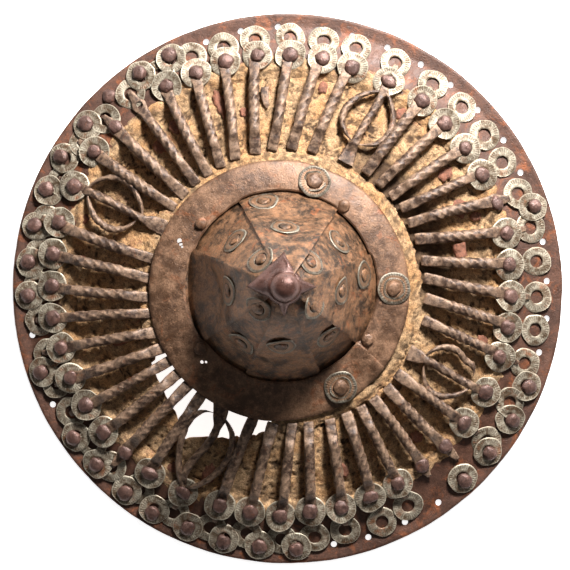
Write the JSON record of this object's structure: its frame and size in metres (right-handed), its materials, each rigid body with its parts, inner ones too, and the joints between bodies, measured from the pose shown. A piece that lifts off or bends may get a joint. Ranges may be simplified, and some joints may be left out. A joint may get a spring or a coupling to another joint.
{
  "type": "buckler shield",
  "caption": "Round iron buckler with a hollow pointed boss, twisted radial bars, openwork knot bars and riveted washers over a decayed backing board.",
  "frame": {"origin": "centre of the rim's outer circle, on the flat underside of the rim that the shield rests on", "axes": "+Z is the shield's axis, from the back out through the boss; +Y is the side where the bar feet stop short of the centre plate"},
  "size_m": [0.36, 0.36, 0.1329],
  "materials": {
    "rim_iron": "reddish brown corroded sheet iron with orange patches",
    "board": "decayed tan wood and leather, flaking and cracked",
    "bar_iron": "hammered and twisted iron with a grey brown patina",
    "plate_iron": "worn sheet iron with a warm brown patina",
    "boss_iron": "worn sheet iron with dark and orange patches",
    "cap_iron": "smooth dark iron, polished by handling",
    "grip_iron": "plain forged iron",
    "washer_metal": "tarnished pale washers with punched rings and lines",
    "rivet_iron": "dark hammered iron rivet heads",
    "leather": "shreds of red leather"
  },
  "bodies": {
    "root": {"rim": "rim_iron", "backing_board": "board", "bar_01": "bar_iron", "bar_02": "bar_iron", "bar_03": "bar_iron", "bar_04": "bar_iron", "bar_05": "bar_iron", "bar_06": "bar_iron", "bar_07": "bar_iron", "bar_09": "bar_iron", "bar_10": "bar_iron", "bar_11": "bar_iron", "bar_12": "bar_iron", "bar_13": "bar_iron", "bar_14": "bar_iron", "bar_15": "bar_iron", "bar_16": "bar_iron", "bar_17": "bar_iron", "bar_18": "bar_iron", "bar_20": "bar_iron", "bar_21": "bar_iron", "bar_22": "bar_iron", "bar_23": "bar_iron", "bar_24": "bar_iron", "bar_25": "bar_iron", "bar_26": "bar_iron", "bar_27": "bar_iron", "bar_28": "bar_iron", "bar_29": "bar_iron", "bar_31": "bar_iron", "bar_32": "bar_iron", "bar_33": "bar_iron", "bar_34": "bar_iron", "bar_35": "bar_iron", "bar_36": "bar_iron", "bar_37": "bar_iron", "bar_38": "bar_iron", "bar_39": "bar_iron", "bar_40": "bar_iron", "bar_42": "bar_iron", "bar_43": "bar_iron", "bar_44": "bar_iron", "knot_bar_1": "bar_iron", "knot_bar_2": "bar_iron", "knot_bar_3": "bar_iron", "knot_bar_4": "bar_iron", "iron_tongue": "bar_iron", "centre_plate": "plate_iron", "gore_east": "boss_iron", "gore_north_east": "boss_iron", "gore_north": "boss_iron", "gore_north_west": "boss_iron", "gore_west": "boss_iron", "gore_south_west": "boss_iron", "gore_south": "boss_iron", "gore_south_east": "boss_iron", "star_cap": "cap_iron", "hand_grip": "grip_iron"}
  },
  "joints": []
}
